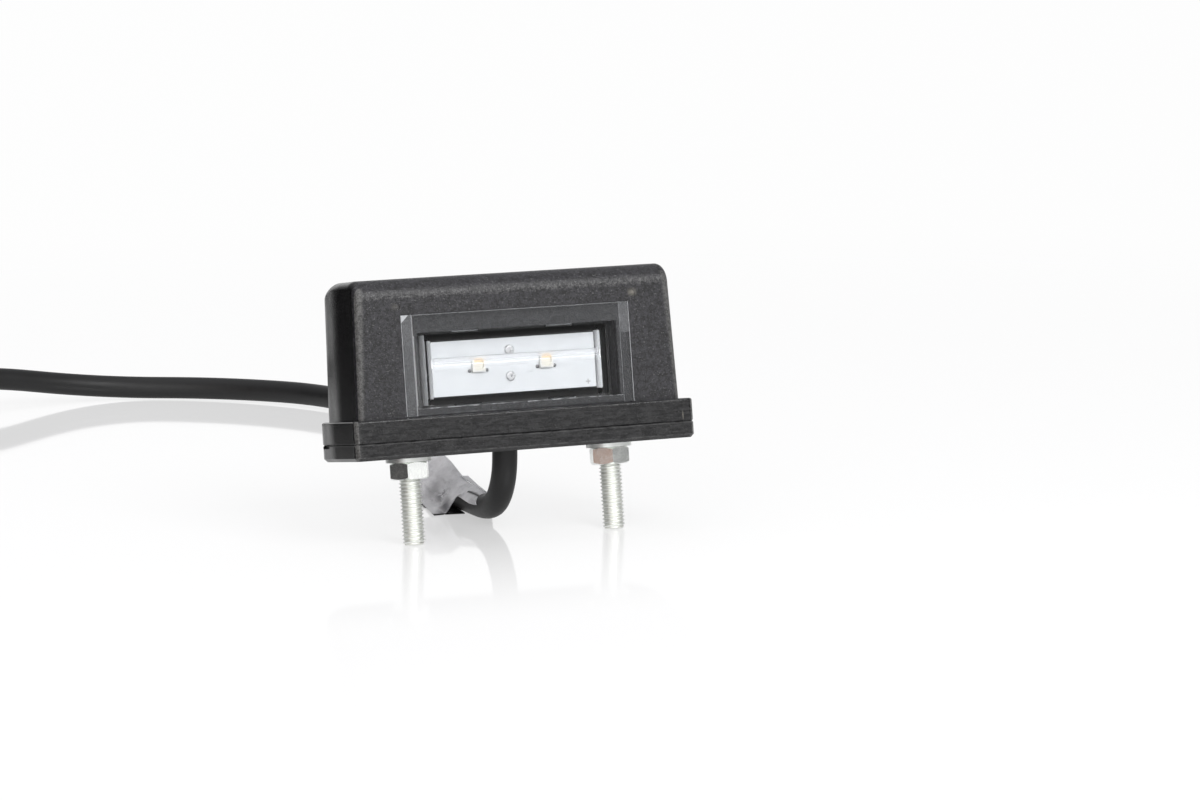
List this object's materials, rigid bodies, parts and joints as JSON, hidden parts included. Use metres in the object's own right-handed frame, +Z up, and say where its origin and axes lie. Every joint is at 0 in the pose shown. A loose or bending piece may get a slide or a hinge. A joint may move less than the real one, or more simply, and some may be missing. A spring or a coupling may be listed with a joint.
{
  "type": "number plate lamp",
  "caption": "Black flanged number plate lamp: arched hood, clear lens over LEDs on a white board, base plate with threaded mounting studs and nuts, and a black cable lead.",
  "frame": {"origin": "midway between the two studs, on the base plate's underside, where the lamp seats on its bracket", "axes": "+Z up from the bracket through the hood, X along the lamp through both studs, -Y the way the lens faces"},
  "size_m": [0.1938, 0.2408, 0.0576],
  "materials": {
    "housing_black": "fine pebble grain, satin",
    "lens_clear": "clear, polished",
    "carrier_black": "plain",
    "board_white": "white solder resist",
    "led_cream": "cream case, yellow phosphor",
    "chip_dark": "moulded chip parts",
    "solder": "bright solder",
    "core_red": "smooth wire insulation",
    "core_black": "smooth wire insulation",
    "zinc": "bright zinc plate",
    "grommet_rubber": "plain",
    "cable_black": "satin sheath",
    "tape_grey": "creased grey tape with a sheen",
    "tie_black": "plain"
  },
  "bodies": {
    "root": {"housing": "housing_black", "base_plate": "housing_black", "lens": "lens_clear", "board_carrier": "carrier_black", "led_board": "board_white", "led_left": "led_cream", "led_right": "led_cream", "resistor_left": "chip_dark", "resistor_right": "chip_dark", "diode": "chip_dark", "solder_joint_upper": "solder", "solder_joint_lower": "solder", "core_positive": "core_red", "core_negative": "core_black", "bolt_left": "zinc", "bolt_right": "zinc", "washer_left": "zinc", "washer_right": "zinc", "nut_left": "zinc", "nut_right": "zinc", "cable_grommet": "grommet_rubber", "cable": "cable_black", "cable_coil": "cable_black", "cable_tail": "cable_black", "cable_tape": "tape_grey", "coil_tie": "tie_black", "tail_core_positive": "core_red", "tail_core_negative": "core_black"}
  },
  "joints": []
}
